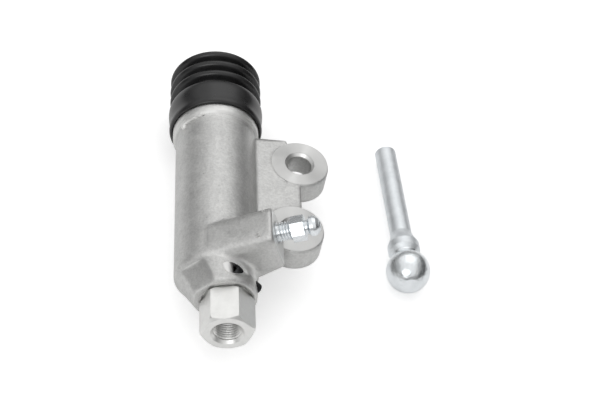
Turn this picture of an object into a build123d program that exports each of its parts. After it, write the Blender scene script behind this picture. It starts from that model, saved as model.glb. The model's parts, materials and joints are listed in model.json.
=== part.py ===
from build123d import *
from math import cos, radians, sin
import os

os.makedirs("parts", exist_ok=True)

# Clutch slave cylinder. The pieces are drawn about the bore: the bore axis is the Y axis, y = 0 is the
# front of the nose, the open end with the boot points to +Y and the flange lies on the +X side.
# Each piece is then set into the flange's own frame, midway between the bolt holes on the mounting face.

# Main sizes in millimetres
bore_d = 19.05
bore_end_y = 14.0
bore_chamfer = 0.9
body_len = 88.0
barrel_d = 30.0
shoulder_y = 8.2
shoulder_chamfer = 1.6

nose_x = 2.8
nose_z = 0.4
nose_d = 23.0
nose_root_d = 28.4
nose_flat_at = 10.1
nose_flat_turn = 139.7
nose_flat_lean = 28.2
union_x = 3.8
nose_bore_d = 18.5
nose_bore_depth = 11.0
inlet_passage_d = 4.0

collar_d = 32.4
collar_inset = 10.5
boot_groove_inset = 5.8
boot_groove_width = 3.2
boot_groove_d = 28.6
end_lip_d = 30.6

mount_z = -4.6
flange_top_z = 4.3
pad_z = 4.9
pad_d = 21.2
ear_d = 22.0
bolt_hole_d = 9.2
bolt_chamfer = 1.05
upper_ear_x = 31.0
upper_ear_inset = 23.5
lower_ear = (28.0, 32.0)
web_past_ear = 11.7
web_right_x = 31.2
web_near_y = 24.5

boss_y = 16.2
boss_half = 8.0
boss_tilt = 24.0
boss_end = (18.79, 19.75)
boss_below = 8.9
boss_above = 7.4
boss_foot_right = (14.6, 4.5)
boss_foot_middle = (6.0, 0.0)
boss_foot_left = (-5.8, 6.0)
boss_shoulder = (-5.5, 14.4)
boss_round = 4.6

bleed_thread_d = 6.9
bleed_hole_d = 7.0
bleed_hole_depth = 11.5
bleed_passage_d = 4.0
bleed_passage_depth = 26.5
bleed_hex = 8.0
bleed_turn = 45.0
bleed_root_d = 5.9
bleed_root_from = 0.3
bleed_hex_from = 5.4
bleed_hex_len = 4.7
bleed_neck_d = 5.0
bleed_nipple_d = 7.2
bleed_top = 15.2
bleed_drill_d = 2.4
bleed_cross_d = 1.4
bleed_cross_at = 3.4

union_hex = 17.0
union_len = 14.2
union_turn = 14.0
union_shank_clear = 0.05
union_thread_d = 10.0
union_thread_depth = 14.0
union_cone_d = 12.0
union_groove_d = 14.1
union_turned_d = 18.0
seal_groove_y = 8.0
seal_groove_width = 2.4
seal_groove_d = 15.0

pin_d = 4.0
pin_clear = 0.01
pin_y = 4.6
pin_chord = 9.08
pin_angle = -45.7
pin_from = -8.3
pin_to = 5.8
pin_wall = 0.8
pin_slot = 0.7

piston_clear = 0.025
piston_back_inset = 4.4
piston_len = 26.0
piston_waist_d = 15.6
piston_skirt = 5.5
rod_seat_d = 8.6
rod_seat_depth = 9.0
rear_seal_groove = (6.2, 2.6, 14.2)

cup_len = 5.6
cup_heel = 2.2
cup_seat_len = 4.0
cup_seat_d = 15.0
cup_seat_rim_clear = 0.4
cup_lip_ease = 0.3
cup_lip_flare = 0.9

wire_d = 1.3
spring_d = 14.6
spring_turns = 7.0

stop_groove_inset = 4.1
stop_groove_width = 1.3
stop_groove_d = 20.6
stop_wire_d = 1.2

boot_rim_inset = 7.3
boot_band_len = 11.9
boot_first_crest = 4.6
boot_pitch = 5.25
boot_crests = 3
boot_rim_d = 35.3
boot_waist_d = 34.8
boot_band_d = 35.9
boot_crest_d = 35.0
boot_root_d = 28.6
boot_end_draw = 0.1
boot_wall = 1.5
boot_end_hole_d = 9.0
boot_end_lip = 3.0

rod_d = 8.2
rod_collar_d = 12.0
rod_ball_d = 16.4
rod_ball_flat = 7.4
rod_len = 64.0
rod_collar_at = 12.6
rod_ball_at = (72.8, 28.5)
rod_end_at = (69.45, 92.1)

# Places worked out from the sizes above
barrel_r = barrel_d / 2
bore_r = bore_d / 2
floor_z = -boot_band_d / 2

collar_y = body_len - collar_inset
boot_groove_y = body_len - boot_groove_inset
stop_groove_y = body_len - stop_groove_inset
piston_back_y = body_len - piston_back_inset
boot_rim_y = body_len - boot_rim_inset
boot_band_end_y = boot_rim_y + boot_band_len
boot_first_crest_y = boot_band_end_y + boot_first_crest
boot_last_crest = int(boot_crests) - 1
boot_last_crest_y = boot_first_crest_y + boot_last_crest * boot_pitch

upper_ear = (upper_ear_x, body_len - upper_ear_inset)
web_far_y = upper_ear[1] + web_past_ear

mid_x = (upper_ear[0] + lower_ear[0]) / 2
mid_y = (upper_ear[1] + lower_ear[1]) / 2

u_x = cos(radians(boss_tilt))
u_z = sin(radians(boss_tilt))


def along_y(x=0.0, z=0.0, y=0.0):
    """Plane whose normal runs along the bore, towards the open end."""
    return Plane(origin=(x, y, z), x_dir=(1, 0, 0), z_dir=(0, 1, 0))


def rod_y(d, y0, y1, x=0.0, z=0.0):
    """Cylinder along the bore from y0 to y1."""
    return extrude(along_y(x, z, y0) * Circle(d / 2), y1 - y0)


def turned(points):
    """Solid turned about the bore axis from (radius, y) points."""
    return revolve(Plane.XY * make_face(Polyline(*points, close=True)), Axis.Y)


def turned_rounded(points, rounds):
    """As turned, with fillets on the profile corners listed as index: radius."""
    face = make_face(Polyline(*points, close=True))
    for index, r in rounds.items():
        x, y = points[index]
        corner = face.vertices().sort_by_distance((x, y, 0))[0]
        face = fillet(corner, r)
    return revolve(Plane.XY * face, Axis.Y)


def ear(centre, d, z0, z1):
    return Pos(centre[0], centre[1], z0) * extrude(Circle(d / 2), z1 - z0)


def barrel():
    """Barrel with its chamfered near shoulder, boot collar, boot groove and end lip."""
    groove_end = boot_groove_y + boot_groove_width
    profile = [
        (0, shoulder_y),
        (barrel_r - shoulder_chamfer, shoulder_y),
        (barrel_r, shoulder_y + shoulder_chamfer),
        (barrel_r, collar_y - 0.9),
        (collar_d / 2, collar_y),
        (collar_d / 2, boot_groove_y),
        (boot_groove_d / 2, boot_groove_y),
        (boot_groove_d / 2, groove_end),
        (end_lip_d / 2, groove_end),
        (end_lip_d / 2, body_len - 1.0),
        (end_lip_d / 2 - 1.0, body_len),
        (0, body_len),
    ]
    return turned_rounded(profile, {2: 1.4, 1: 0.8})


def nose():
    """Round nose that widens into the barrel's shoulder, with a bevelled front rim."""
    rim = along_y(nose_x, nose_z, 0) * Circle(nose_d / 2 - 0.7)
    front = along_y(nose_x, nose_z, 0.7) * Circle(nose_d / 2)
    middle = along_y(nose_x * 0.6, nose_z, shoulder_y * 0.55) * Circle((nose_d + nose_root_d) / 4)
    root = along_y(nose_x * 0.1, 0, shoulder_y + 0.6) * Circle(nose_root_d / 2)
    cone = loft([rim, front], ruled=True) + loft([front, middle, root])
    return cone - nose_flat()


def nose_flat():
    """Block whose near face is the flat on the nose: turned about the bore, leaning to the front."""
    turn = radians(nose_flat_turn)
    lean = radians(nose_flat_lean)
    origin = (nose_x + cos(turn) * nose_flat_at, 0, nose_z + sin(turn) * nose_flat_at)
    normal = (cos(turn) * cos(lean), -sin(lean), sin(turn) * cos(lean))
    block = 2 * nose_root_d
    return Plane(origin=origin, z_dir=normal) * Pos(0, 0, block / 2) * Box(block, block, block)


def flange():
    """Plate with two ears, joined to the barrel, and a round raised pad on each ear."""
    plate_h = flange_top_z - mount_z
    outline = [
        (0, web_near_y),
        (barrel_r + 4, web_near_y),
        (lower_ear[0], lower_ear[1]),
        (web_right_x, lower_ear[1] + 10),
        (web_right_x, upper_ear[1] - 10),
        (upper_ear[0], upper_ear[1]),
        (upper_ear[0] - 4.6, web_far_y),
        (0, web_far_y),
    ]
    web = Pos(0, 0, mount_z) * extrude(make_face(Polyline(*outline, close=True)), plate_h)
    ears = [ear(upper_ear, ear_d, mount_z, flange_top_z), ear(lower_ear, ear_d, mount_z, flange_top_z)]
    plate = web + ears[0] + ears[1]
    rims = plate.edges().filter_by_position(Axis.Z, flange_top_z - 0.01, flange_top_z + 0.01)
    plate = fillet(rims.filter_by(lambda e: e.bounding_box().min.X > barrel_r - 1), 0.7)
    pads = ear(upper_ear, pad_d, mount_z, pad_z) + ear(lower_ear, pad_d, mount_z, pad_z)
    return plate + pads


def boss_plane(distance=0.0):
    """Plane across the bleed screw, its normal pointing out of the boss."""
    origin = (boss_end[0] + u_x * distance, boss_y, boss_end[1] + u_z * distance)
    return Plane(origin=origin, x_dir=(0, 1, 0), z_dir=(u_x, 0, u_z))


def boss():
    """Slab with a rounded top that rises from the barrel towards the bleed screw."""
    end_low = (boss_end[0] + u_z * boss_below, boss_end[1] - u_x * boss_below)
    end_high = (boss_end[0] - u_z * boss_above, boss_end[1] + u_x * boss_above)
    profile = [end_low, boss_foot_right, boss_foot_middle, boss_foot_left, boss_shoulder, end_high]
    side = Plane(origin=(0, boss_y + boss_half, 0), x_dir=(1, 0, 0), z_dir=(0, -1, 0))
    slab = extrude(side * make_face(Polyline(*profile, close=True)), 2 * boss_half)
    top = slab.faces().sort_by(Axis.Z)[-1]
    long_edges = top.edges().filter_by(lambda e: abs((e % 0.5).Y) < 0.1)
    slab = fillet(long_edges, boss_round)
    left = slab.edges().filter_by(lambda e: e.bounding_box().max.X < -3 and e.bounding_box().max.Z > 12)
    slab = fillet(left, 1.6)
    end_face_edges = slab.edges().filter_by(lambda e: on_plane(e, boss_plane(0)))
    end_edges = end_face_edges.filter_by(lambda e: e.center().Z > boss_end[1] + 2)
    return fillet(end_edges, 1.3)


def on_plane(edge, plane):
    """True for an edge that lies in the plane."""
    return all(abs(plane.to_local_coords(edge @ t).Z) < 0.01 for t in (0, 0.5, 1))


def bolt_hole(centre):
    hole = ear(centre, bolt_hole_d, mount_z - 1, pad_z + 1)
    hole_r = bolt_hole_d / 2
    cone = Cone(hole_r, hole_r + 2 * bolt_chamfer, 2 * bolt_chamfer)
    return hole + Pos(centre[0], centre[1], pad_z) * cone


def pin_frame():
    """Frame of the roll pin: its Z axis crosses the nose beside the union, as a chord."""
    a = radians(pin_angle)
    direction = (cos(a), 0, sin(a))
    foot = (union_x - sin(a) * pin_chord, pin_y, cos(a) * pin_chord)
    return Plane(origin=foot, x_dir=(0, 1, 0), z_dir=direction)


def pin_hole():
    return pin_frame() * Cylinder(pin_d / 2 + pin_clear, nose_root_d)


def cylinder_body():
    body = barrel() + nose() + flange() + boss()
    bore = rod_y(bore_d, bore_end_y, body_len + 1)
    bore += turned([
        (0, body_len - bore_chamfer),
        (bore_r, body_len - bore_chamfer),
        (bore_r + bore_chamfer + 0.1, body_len + 0.1),
        (0, body_len + 0.1),
    ])
    stop = rod_y(stop_groove_d, stop_groove_y, stop_groove_y + stop_groove_width)
    inlet = rod_y(nose_bore_d, -1, nose_bore_depth, union_x)
    inlet += rod_y(inlet_passage_d, 0, bore_end_y + 1, union_x)
    bleed = extrude(boss_plane(1) * Circle(bleed_hole_d / 2), -(bleed_hole_depth + 1))
    bleed += extrude(boss_plane(0) * Circle(bleed_passage_d / 2), -bleed_passage_depth)
    mouth = boss_plane(-0.7) * Pos(0, 0, 0.5) * Cone(bleed_hole_d / 2, bleed_hole_d / 2 + 1.0, 1.0)
    body = body - bore - stop - inlet - bleed - mouth
    body = body - bolt_hole(upper_ear) - bolt_hole(lower_ear) - pin_hole()
    return body


def hexagon(across, y0, y1, x=0.0):
    """Hexagon bar along the bore."""
    outline = RegularPolygon(across / 2, 6, major_radius=False, rotation=-union_turn)
    return extrude(along_y(x, 0, y0) * outline, y1 - y0)


def inlet_union():
    """Hexagon union: corners turned off at both ends, shank with a locking groove and a seal groove."""
    shank_d = nose_bore_d - 2 * union_shank_clear
    corner_r = union_hex / 2 / cos(radians(30))
    bar = hexagon(union_hex, -union_len, 1.0)
    turned_off = turned([
        (0, -union_len),
        (union_hex / 2 - 0.2, -union_len),
        (corner_r - 0.25, -union_len + 0.9),
        (corner_r + 0.02, -union_len + 2.0),
        (corner_r + 0.02, -0.9),
        (union_turned_d / 2, -0.1),
        (union_turned_d / 2, 1.0),
        (0, 1.0),
    ])
    bar = bar & turned_off
    groove_r = union_groove_d / 2
    pin_half = pin_d / 2 + 0.1
    shank = turned([
        (0, 1.0),
        (shank_d / 2, 1.0),
        (shank_d / 2, pin_y - pin_half),
        (groove_r, pin_y - pin_half),
        (groove_r, pin_y + pin_half),
        (shank_d / 2, pin_y + pin_half),
        (shank_d / 2, seal_groove_y),
        (seal_groove_d / 2, seal_groove_y),
        (seal_groove_d / 2, seal_groove_y + seal_groove_width),
        (shank_d / 2, seal_groove_y + seal_groove_width),
        (shank_d / 2 - 0.2, nose_bore_depth - 0.1),
        (0, nose_bore_depth - 0.1),
    ])
    thread_r = union_thread_d / 2
    hollow = turned([
        (0, -union_len - 0.1),
        (union_cone_d / 2 + 0.1, -union_len - 0.1),
        (thread_r, -union_len + 1.0),
        (thread_r, -union_len + union_thread_depth),
        (inlet_passage_d / 2, -union_len + union_thread_depth + 2.0),
        (inlet_passage_d / 2, nose_bore_depth + 1),
        (0, nose_bore_depth + 1),
    ])
    return Pos(union_x, 0, 0) * (bar + shank - hollow)


def ring_round(mid_r, section_r, y, x=0.0):
    """Ring of round section about the bore axis."""
    circle = Plane.XY * Pos(mid_r, y) * Circle(section_r)
    return Pos(x, 0, 0) * revolve(circle, Axis.Y)


def union_seal():
    inner_r = seal_groove_d / 2
    outer_r = nose_bore_d / 2
    section = (outer_r - inner_r) / 2 - 0.02
    return ring_round((inner_r + outer_r) / 2, section, seal_groove_y + seal_groove_width / 2, union_x)


def roll_pin():
    """Slotted spring pin: a rolled tube with bevelled ends."""
    length = pin_to - pin_from
    tube = Circle(pin_d / 2) - Circle(pin_d / 2 - pin_wall)
    slit = Pos(pin_d / 2, 0) * Rectangle(pin_d, pin_slot)
    pin = extrude(tube - slit, length)
    bevel = 0.35
    keep = Pos(0, 0, bevel) * extrude(Circle(pin_d / 2), length - 2 * bevel)
    keep += Pos(0, 0, bevel / 2) * Cone(pin_d / 2 - bevel, pin_d / 2, bevel)
    keep += Pos(0, 0, length - bevel / 2) * Cone(pin_d / 2, pin_d / 2 - bevel, bevel)
    return pin_frame() * Pos(0, 0, pin_from) * (pin & keep)


def bleed_screw():
    """Bleed screw: seat cone, thread at its full size in the boss and at its root outside, hexagon,
    neck and nipple, drilled through to a cross hole."""
    hex_to = bleed_hex_from + bleed_hex_len
    r = bleed_thread_d / 2
    depth = bleed_hole_depth
    profile = [
        (0, -depth + 0.6),
        (0.9, -depth + 0.6),
        (r - 1.0, -depth + 2.6),
        (r - 1.0, -depth + 4.2),
        (r - 0.4, -depth + 4.8),
        (r, -depth + 5.2),
        (r, bleed_root_from),
        (bleed_root_d / 2, bleed_root_from),
        (bleed_root_d / 2, bleed_hex_from),
        (bleed_neck_d / 2, bleed_hex_from),
        (bleed_neck_d / 2, hex_to + 1.1),
        (bleed_nipple_d / 2, hex_to + 1.9),
        (bleed_nipple_d / 2, bleed_top - 2.0),
        (bleed_nipple_d / 2 - 0.5, bleed_top - 0.9),
        (bleed_nipple_d / 2 - 1.5, bleed_top),
        (0, bleed_top),
    ]
    screw = revolve(Plane.XZ * make_face(Polyline(*profile, close=True)), Axis.Z)
    outline = RegularPolygon(bleed_hex / 2, 6, major_radius=False, rotation=bleed_turn)
    head = Pos(0, 0, bleed_hex_from) * extrude(outline, bleed_hex_len)
    corner = bleed_hex / 2 / cos(radians(30))
    turned_off = Cone(corner + 2.6, corner - 1.3, bleed_hex_len + 4)
    screw += head & (Pos(0, 0, bleed_hex_from + bleed_hex_len / 2 + 2) * turned_off)
    cross_hole = Pos(0, 0, -depth + bleed_cross_at)
    screw -= cross_hole * extrude(Circle(bleed_drill_d / 2), bleed_top + depth)
    screw -= cross_hole * Rot(90, 0, 0) * Cylinder(bleed_cross_d / 2, 2 * r)
    return boss_plane(0) * screw


def piston():
    """Piston: guide lands, seal groove, a waist and a cupped back for the push rod."""
    r = bore_r - piston_clear
    back = piston_back_y
    front = back - piston_len
    g_at, g_w, g_d = rear_seal_groove
    profile = [
        (0, front),
        (r - 0.6, front),
        (r, front + 0.6),
        (r, front + piston_skirt),
        (piston_waist_d / 2, front + piston_skirt + 1),
        (piston_waist_d / 2, back - piston_skirt - g_w - 4.2),
        (r, back - piston_skirt - g_w - 3.2),
        (r, back - g_at - g_w),
        (g_d / 2, back - g_at - g_w),
        (g_d / 2, back - g_at),
        (r, back - g_at),
        (r, back - 0.5),
        (r - 0.5, back),
        (0, back),
    ]
    seat = turned([
        (0, back - rod_seat_depth - 2.2),
        (rod_seat_d / 2, back - rod_seat_depth),
        (rod_seat_d / 2, back - 3.0),
        (rod_seat_d / 2 + 2.4, back + 0.1),
        (0, back + 0.1),
    ])
    return turned(profile) - seat


def rear_seal():
    g_at, g_w, g_d = rear_seal_groove
    inner_r = g_d / 2 + 0.02
    outer_r = bore_r - 0.02
    y1 = piston_back_y - g_at - 0.2
    y0 = y1 - g_w + 0.4
    mid = (y0 + y1) / 2
    return turned([
        (inner_r, y0),
        (outer_r - 0.4, y0),
        (outer_r, y0 + 0.3),
        (outer_r - 0.5, mid),
        (outer_r, y1 - 0.3),
        (outer_r - 0.4, y1),
        (inner_r, y1),
    ])


def pressure_cup():
    """Cup seal: a solid heel on the piston and a thin lip that faces the fluid, round the spring seat."""
    back = piston_back_y - piston_len - 0.02
    front = back - cup_len
    lip_r = bore_r - 0.02
    inner_r = (cup_seat_d / 2 + lip_r) / 2 - cup_lip_ease
    return turned([
        (0, back),
        (lip_r - 0.5, back),
        (lip_r - 0.35, back - cup_heel),
        (lip_r, front),
        (inner_r, front),
        (inner_r - cup_lip_flare, back - cup_heel),
        (0, back - cup_heel),
    ])


def cup_seat():
    """Spring seat: a round cap that bears in the cup and centres the spring."""
    back = piston_back_y - piston_len - 0.02 - cup_heel - 0.02
    front = back - cup_seat_len
    rim_r = (cup_seat_d / 2 + bore_r) / 2 - cup_seat_rim_clear
    return turned([
        (0, back),
        (cup_seat_d / 2 - 1.6, back),
        (cup_seat_d / 2 - 1.1, back - 1.0),
        (cup_seat_d / 2, back - cup_len + cup_heel - 0.4),
        (rim_r, back - cup_len + cup_heel - 0.6),
        (rim_r, front - 0.6),
        (spring_d / 2 - wire_d - 0.3, front - 0.6),
        (spring_d / 2 - wire_d - 0.8, front - 3.0),
        (0, front - 3.0),
    ])


def return_spring():
    """Coil spring between the closed end of the bore and the spring seat."""
    y0 = bore_end_y + wire_d / 2 + 0.02
    y1 = piston_back_y - piston_len - 0.04 - cup_heel - cup_seat_len - 0.6 - wire_d / 2 - 0.02
    mid_r = (spring_d - wire_d) / 2
    path = Helix(pitch=(y1 - y0) / spring_turns, height=y1 - y0, radius=mid_r)
    start = Plane(origin=path @ 0, z_dir=path % 0)
    coil = sweep(start * Circle(wire_d / 2), path=path, is_frenet=True)
    return along_y(0, 0, y0) * coil


def stop_ring():
    """Wire snap ring in its groove, open at the lower side, that holds the piston in."""
    mid_r = stop_groove_d / 2 - stop_wire_d / 2 - 0.05
    y = stop_groove_y + stop_groove_width / 2
    circle = Plane.XY * Pos(mid_r, y) * Circle(stop_wire_d / 2)
    ring = revolve(circle, Axis.Y, 320)
    return Rot(0, 110, 0) * ring


def boot_shape(inset, y0, y1):
    """Turned outline of the boot, inset from its outer skin, between two stations."""
    rim = boot_rim_d / 2 - inset
    band = boot_band_d / 2 - inset
    crest = boot_crest_d / 2 - inset
    root = boot_root_d / 2 - inset
    half = boot_pitch / 2
    points = [(0, y0), (rim, y0), (boot_waist_d / 2 - inset, boot_rim_y + 3.6), (band, boot_rim_y + 9.0)]
    rounds = {3: 4.0}
    points.append((band - 0.5, boot_band_end_y))
    rounds[4] = 1.0
    for i in range(boot_last_crest + 1):
        y = boot_first_crest_y + i * boot_pitch
        points.append((root, y - half))
        rounds[len(points) - 1] = 0.7
        draw = boot_end_draw * (i == boot_last_crest)
        points.append((crest - draw, y))
        rounds[len(points) - 1] = 0.9
    if y1 > boot_last_crest_y + 0.5:
        points.append((crest - boot_end_draw - 0.5, y1))
        rounds[len(points) - 1] = 0.7
    points.append((0, y1))
    return turned_rounded(points, rounds)


def boot():
    """Rubber boot: cuff with an inner bead in the body's groove, three convolutions, holed end wall."""
    end_y = boot_last_crest_y + 1.6
    skin = boot_shape(0.0, boot_rim_y, end_y)
    inside = boot_shape(boot_wall, boot_rim_y - 1, end_y - boot_wall)
    body_room = rod_y(end_lip_d + 2 * 0.05, body_len - 6, body_len + 0.4)
    shell = skin - inside - rod_y(collar_d + 0.4, boot_rim_y - 1, boot_groove_y + 0.2)
    bead_y0 = boot_groove_y + 0.2
    bead_y1 = boot_groove_y + boot_groove_width - 0.1
    bead = rod_y(boot_waist_d - 1.4, bead_y0, bead_y1) - rod_y(boot_groove_d + 0.1, bead_y0 - 1, bead_y1 + 1)
    neck = rod_y(boot_end_hole_d + 2 * 1.6, end_y - boot_end_lip - 0.6, end_y)
    shell = shell + bead + neck
    hole = rod_y(boot_end_hole_d, end_y - 10, end_y + 1)
    return shell - hole - (body_room - rod_y(end_lip_d + 0.1, 0, bead_y1))


def push_rod():
    """Push rod with a collar and a ball, lying on the floor beside the cylinder."""
    ball_r = rod_ball_d / 2
    profile = [
        (0, -rod_ball_flat),
        (2.6, -rod_ball_flat),
        (2.6, 0),
        (4.4, rod_collar_at - 5.4),
        (rod_collar_d / 2 - 0.9, rod_collar_at - 4.2),
        (rod_collar_d / 2, rod_collar_at - 3.0),
        (rod_collar_d / 2, rod_collar_at),
        (rod_d / 2 + 0.5, rod_collar_at + 3.4),
        (rod_d / 2, rod_collar_at + 5.6),
        (rod_d / 2, rod_len - 0.8),
        (rod_d / 2 - 0.8, rod_len),
        (0, rod_len),
    ]
    flat = Pos(0, 0, -rod_ball_flat - ball_r) * Box(rod_ball_d, rod_ball_d, rod_ball_d)
    ball = Sphere(ball_r) - flat
    rod = revolve(Plane.XZ * make_face(Polyline(*profile, close=True)), Axis.Z) + ball
    base = Vector(rod_ball_at[0], rod_ball_at[1], floor_z + ball_r)
    tip = Vector(rod_end_at[0], rod_end_at[1], floor_z + rod_d / 2 + 0.2)
    return Plane(origin=base, z_dir=tip - base) * rod


pieces = {
    "cylinder_body": cylinder_body,
    "inlet_union": inlet_union,
    "union_seal": union_seal,
    "roll_pin": roll_pin,
    "bleed_screw": bleed_screw,
    "piston": piston,
    "rear_seal": rear_seal,
    "pressure_cup": pressure_cup,
    "cup_seat": cup_seat,
    "return_spring": return_spring,
    "stop_ring": stop_ring,
    "boot": boot,
    "push_rod": push_rod,
}

for name, make in pieces.items():
    piece = Pos(-mid_x, -mid_y, -mount_z) * make()
    export_step(piece, f"parts/{name}.step")
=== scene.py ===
# %% [markdown]
# # A clutch slave cylinder with its push rod
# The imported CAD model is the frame: every solid lies where the real piece does, in metres.
# This script gives each piece its real surface and adds what CAD left out: threads, the moulded boot,
# the small marks that casting leaves, a camera and a plain studio.

# %% Load the frame
import json
import math

import bmesh
import bpy
from mathutils import Matrix, Vector


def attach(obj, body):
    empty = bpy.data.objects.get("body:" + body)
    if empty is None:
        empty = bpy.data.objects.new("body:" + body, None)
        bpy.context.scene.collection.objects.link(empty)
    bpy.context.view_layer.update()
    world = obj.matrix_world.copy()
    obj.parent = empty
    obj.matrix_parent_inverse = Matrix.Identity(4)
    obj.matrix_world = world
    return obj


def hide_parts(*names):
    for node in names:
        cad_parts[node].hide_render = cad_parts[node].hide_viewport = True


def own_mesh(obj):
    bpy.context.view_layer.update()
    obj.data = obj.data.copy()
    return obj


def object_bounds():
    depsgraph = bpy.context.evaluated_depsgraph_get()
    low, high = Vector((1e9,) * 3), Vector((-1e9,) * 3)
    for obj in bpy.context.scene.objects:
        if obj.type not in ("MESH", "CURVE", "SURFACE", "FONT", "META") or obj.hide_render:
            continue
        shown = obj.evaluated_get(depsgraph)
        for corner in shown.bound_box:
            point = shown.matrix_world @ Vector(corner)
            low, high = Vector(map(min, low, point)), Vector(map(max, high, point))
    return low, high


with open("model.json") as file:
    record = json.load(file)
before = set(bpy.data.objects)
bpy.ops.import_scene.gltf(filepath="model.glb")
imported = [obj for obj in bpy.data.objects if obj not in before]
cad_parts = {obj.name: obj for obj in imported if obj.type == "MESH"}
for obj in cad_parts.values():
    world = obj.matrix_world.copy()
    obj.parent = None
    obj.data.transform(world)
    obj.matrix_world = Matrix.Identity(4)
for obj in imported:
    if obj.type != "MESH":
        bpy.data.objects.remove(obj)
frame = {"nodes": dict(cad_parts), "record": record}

MM = 0.001
scene = bpy.context.scene
nodes = frame["nodes"]
cad_low, cad_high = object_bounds()
print("CAD nodes:", sorted(nodes))
print("CAD box in mm:", [round(v / MM, 2) for v in (*cad_low, *cad_high)])

# %% [markdown]
# ## The camera
# The photograph looks down on the flange, a little from the left, with the object turned in the picture.
# Azimuth, elevation and roll say that more plainly than a table of axes, so the camera is aimed first
# along its line of sight and then rolled about it.

# %% Camera
view_azimuth = math.radians(-12.44)
view_elevation = math.radians(46.84)
view_roll = math.radians(14.02)
aim = Vector((1.91, 2.32, 4.60)) * MM
camera_distance = 623.05 * MM

back = Vector((
    math.sin(view_azimuth) * math.cos(view_elevation),
    -math.cos(view_azimuth) * math.cos(view_elevation),
    math.sin(view_elevation),
))
camera_data = bpy.data.cameras.new("photo_camera")
camera = bpy.data.objects.new("photo_camera", camera_data)
scene.collection.objects.link(camera)
camera.location = aim + back * camera_distance
aimed = (-back).to_track_quat("-Z", "Y").to_matrix().to_4x4()
camera.rotation_mode = "QUATERNION"
camera.rotation_quaternion = (aimed @ Matrix.Rotation(view_roll, 4, "Z")).to_quaternion()
camera_data.lens = 100.81
camera_data.sensor_width = 36.0
camera_data.clip_start = 0.01
scene.camera = camera
print("camera at", [round(v, 3) for v in camera.location])

# %% [markdown]
# ## Wiring shader nodes from a script
# A sky or a material is a small circuit: nodes are boxes, and links carry numbers, vectors and colours
# between their sockets. In the editor they are dragged about by hand. A few helpers make the same moves
# short enough to read here: add a node, feed a socket, reckon, run through a ramp, and mix two colours.

# %% Node helpers
def add(tree, kind, inputs=None, **settings):
    """New shader node with its settings and unlinked input values."""
    made = tree.nodes.new(kind)
    for key, value in settings.items():
        setattr(made, key, value)
    for key, value in (inputs or {}).items():
        made.inputs[key].default_value = value
    return made


def feed(tree, source, target):
    """Link an output socket to an input socket, or set the input to a plain value."""
    if isinstance(source, bpy.types.NodeSocket):
        tree.links.new(source, target)
    else:
        target.default_value = source


def reckon(tree, operation, first, second=0.0, third=0.0):
    """Math node on sockets or numbers, giving its output socket."""
    made = add(tree, "ShaderNodeMath", operation=operation)
    for value, target in zip((first, second, third), made.inputs):
        feed(tree, value, target)
    return made.outputs[0]


def reckon_vector(tree, operation, first, second=(0.0, 0.0, 0.0)):
    """Vector Math node on sockets or vectors, giving its output socket."""
    made = add(tree, "ShaderNodeVectorMath", operation=operation)
    feed(tree, first, made.inputs[0])
    feed(tree, second, made.inputs[1])
    gives_number = operation in ("LENGTH", "DOT_PRODUCT")
    return made.outputs["Value" if gives_number else "Vector"]


def ramp(tree, source, stops):
    """Colour ramp through (position, grey or colour) stops."""
    made = add(tree, "ShaderNodeValToRGB")
    elements = made.color_ramp.elements
    while len(elements) < len(stops):
        elements.new(0.5)
    for element, (position, colour) in zip(elements, stops):
        element.position = position
        grey = isinstance(colour, float)
        element.color = (colour, colour, colour, 1.0) if grey else (*colour, 1.0)
    feed(tree, source, made.inputs[0])
    return made.outputs[0]


def mixed(tree, factor, first, second):
    """Mix of two colours or sockets by a factor."""
    made = add(tree, "ShaderNodeMix", data_type="RGBA")
    feed(tree, factor, made.inputs["Factor"])
    # The node has its sockets once for each data type: inputs 6 and 7 and output 2 are the colours.
    for value, target in zip((first, second), made.inputs[6:8]):
        feed(tree, value if isinstance(value, bpy.types.NodeSocket) else (*value, 1.0), target)
    return made.outputs[2]


print("node helpers:", [f.__name__ for f in (add, feed, reckon, reckon_vector, ramp, mixed)])

# %% [markdown]
# ## The room
# A product picture of bright metal is mostly a picture of the room around it. The world is that room: a
# pale grey overhead that darkens at the horizon and at both sides, so that round metal gets its dark
# bands. One ramp reads the height of a direction, and the other reads how far it lies to the side.

# %% World
room_level = 1.1
height_stops = [(0.0, 0.28), (0.12, 0.22), (0.30, 0.42), (0.54, 0.95), (1.0, 1.0)]
side_stops = [
    (0.0, 0.46), (0.12, 0.78), (0.21, 0.86), (0.30, 0.88),
    (0.5, 0.86), (0.72, 0.84), (0.82, 0.50), (0.9, 0.25),
]

world = bpy.data.worlds.new("studio")
world.use_nodes = True
scene.world = world
sky = world.node_tree
direction = add(sky, "ShaderNodeSeparateXYZ")
feed(sky, add(sky, "ShaderNodeTexCoord").outputs["Generated"], direction.inputs[0])
background = sky.nodes["Background"].inputs
feed(sky, ramp(sky, direction.outputs["Z"], height_stops), background["Color"])
side = ramp(sky, reckon(sky, "MULTIPLY_ADD", direction.outputs["X"], 0.5, 0.5), side_stops)
feed(sky, reckon(sky, "MULTIPLY", side, room_level), background["Strength"])
print("room:", len(height_stops), "tones by height,", len(side_stops), "from side to side")

# %% [markdown]
# ## The lamps
# One broad lamp hangs over the part and a smaller one stands in front at the left. Wide lamps give the
# soft borders of light that a photographer gets from a softbox. Their power stays low, because the room
# lights the part as well, and zinc and cut aluminium would soon clip to white.

# %% Lamps
def softbox(name, place, size, watts):
    """Square area lamp that faces the middle of the part."""
    lamp = bpy.data.lights.new(name, "AREA")
    lamp.shape = "SQUARE"
    lamp.size = size
    lamp.energy = watts
    lamp_object = bpy.data.objects.new(name, lamp)
    scene.collection.objects.link(lamp_object)
    lamp_object.location = place
    lamp_object.rotation_mode = "QUATERNION"
    lamp_object.rotation_quaternion = (aim - Vector(place)).to_track_quat("-Z", "Y")
    print(name, watts, "W,", size, "m wide")


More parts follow.
